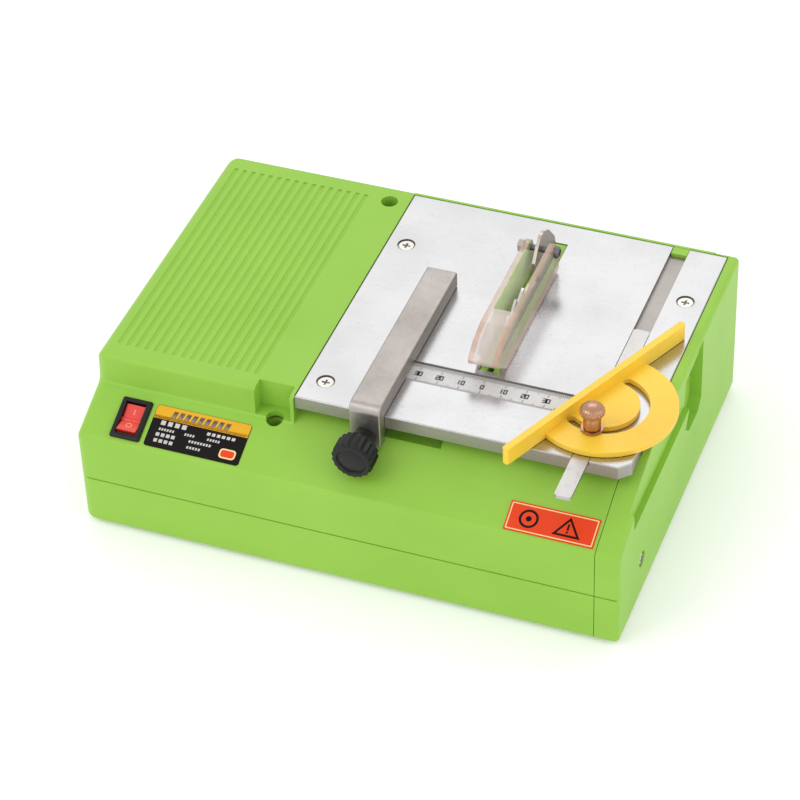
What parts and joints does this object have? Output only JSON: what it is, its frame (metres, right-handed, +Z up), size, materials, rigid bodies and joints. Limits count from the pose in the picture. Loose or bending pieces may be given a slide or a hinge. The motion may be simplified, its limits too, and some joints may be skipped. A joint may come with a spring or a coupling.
{
  "type": "mini table saw",
  "caption": "Bench-top mini table saw: moulded housing, aluminium table plate with ruler and groove, clear blade guard, clamped fence and swivelling mitre gauge.",
  "frame": {"origin": "on the surface the saw stands on, below the middle of the space the whole saw takes", "axes": "+X to the operator's right, +Y away from the operator, +Z up"},
  "size_m": [0.2626, 0.186, 0.1029],
  "materials": {
    "housing_green": "fine moulded grain",
    "plate_aluminium": "brushed along the cut",
    "clear_guard": "transparent moulded plastic",
    "gauge_yellow": "moulded",
    "bright_steel": "ground",
    "dark_steel": "oiled",
    "screw_steel": "zinc plated",
    "blade_steel": "ground",
    "black_plastic": "satin",
    "switch_red": "translucent moulded",
    "label_black": "printed foil",
    "label_orange": "printed foil",
    "ruler_white": "printed foil",
    "foot_rubber": "matt",
    "copper_knob": "turned",
    "copper_wire": "enamelled",
    "cast_aluminium": "cast",
    "carbon_black": "pressed carbon",
    "brass_plain": "stamped",
    "belt_rubber": "matt"
  },
  "bodies": {
    "housing": {"base_shell": "housing_green", "top_shell": "housing_green", "side_cover": "housing_green", "cover_screw": "screw_steel", "rubber_feet": "foot_rubber", "foot_screws": "screw_steel", "case_screws": "screw_steel", "rating_label": "label_black", "caution_label": "label_orange", "cord_gland": "black_plastic", "switch_frame": "black_plastic", "switch_terminals": "brass_plain", "motor_can": "bright_steel", "rear_bracket": "cast_aluminium", "front_bracket": "cast_aluminium", "motor_bearings": "bright_steel", "stator_core": "dark_steel", "field_coils": "copper_wire", "brush_holders": "brass_plain", "carbon_brushes": "carbon_black", "brush_springs": "bright_steel", "motor_straps": "bright_steel", "strap_screws": "screw_steel", "drive_belt": "belt_rubber", "arbor_block": "cast_aluminium", "block_screws": "screw_steel", "arbor_bearings": "bright_steel", "riving_knife": "bright_steel", "knife_screws": "screw_steel", "guard_screw": "screw_steel", "guard_nut": "screw_steel", "table_plate": "plate_aluminium", "plate_screws": "screw_steel", "ruler_strip": "ruler_white"},
    "rocker": {"switch_rocker": "switch_red"},
    "rotor": {"rotor_shaft": "bright_steel", "armature_core": "dark_steel", "armature_windings": "copper_wire", "commutator": "brass_plain", "cooling_fan": "black_plastic", "motor_pulley": "cast_aluminium"},
    "arbor": {"arbor_shaft": "bright_steel", "arbor_pulley": "cast_aluminium", "inner_flange": "bright_steel", "outer_flange": "bright_steel", "arbor_nut": "screw_steel", "saw_blade": "blade_steel"},
    "guard": {"blade_guard": "clear_guard"},
    "fence": {"fence_bar": "bright_steel", "fence_key": "bright_steel"},
    "clamp_knob": {"clamp_knob": "black_plastic", "clamp_screw": "screw_steel"},
    "clamp_jaw": {"clamp_jaw": "bright_steel"},
    "gauge_bar": {"mitre_bar": "bright_steel", "pivot_pin": "bright_steel", "lock_stem": "screw_steel", "lock_washer": "copper_knob"},
    "gauge_head": {"mitre_head": "gauge_yellow"},
    "lock_knob": {"lock_knob": "copper_knob"}
  },
  "joints": [
    {"name": "switch_tip", "type": "hinge", "parent": "housing", "child": "rocker", "pos_m": [-0.10755, -0.08007, 0.05701], "axis": [1, 0, 0], "range_deg": [0, 16]},
    {"name": "motor_spin", "type": "hinge", "parent": "housing", "child": "rotor", "pos_m": [-0.08, -0.027, 0.038], "axis": [1, 0, 0], "continuous": true},
    {"name": "arbor_spin", "type": "hinge", "parent": "housing", "child": "arbor", "pos_m": [0.01, 0.0154, 0.0521], "axis": [1, 0, 0], "continuous": true},
    {"name": "guard_lift", "type": "hinge", "parent": "housing", "child": "guard", "pos_m": [0.04265, 0.0498, 0.0953], "axis": [-1, 0, 0], "range_deg": [0, 55]},
    {"name": "fence_slide", "type": "slide", "parent": "housing", "child": "fence", "axis": [1, 0, 0], "range_m": [0, 0.022]},
    {"name": "clamp_turn", "type": "hinge", "parent": "fence", "child": "clamp_knob", "pos_m": [0.00165, -0.08, 0.0701], "axis": [0, 1, 0], "range_deg": [0, 510]},
    {"name": "jaw_slide", "type": "slide", "parent": "fence", "child": "clamp_jaw", "axis": [0, 1, 0], "range_m": [0, 0.001]},
    {"name": "gauge_slide", "type": "slide", "parent": "housing", "child": "gauge_bar", "axis": [0, 1, 0], "range_m": [-0.02, 0.055]},
    {"name": "gauge_swivel", "type": "hinge", "parent": "gauge_bar", "child": "gauge_head", "pos_m": [0.09875, -0.0291, 0.08], "axis": [0, 0, 1], "range_deg": [-18, 22]},
    {"name": "lock_turn", "type": "hinge", "parent": "gauge_bar", "child": "lock_knob", "pos_m": [0.09875, -0.047, 0.085], "axis": [0, 0, 1], "range_deg": [0, 358]}
  ],
  "couplings": [
    {"joint": "arbor_spin", "follows": "motor_spin", "ratio": 0.7},
    {"joint": "jaw_slide", "follows": "clamp_turn", "m_per_rad": 0.00011141}
  ]
}
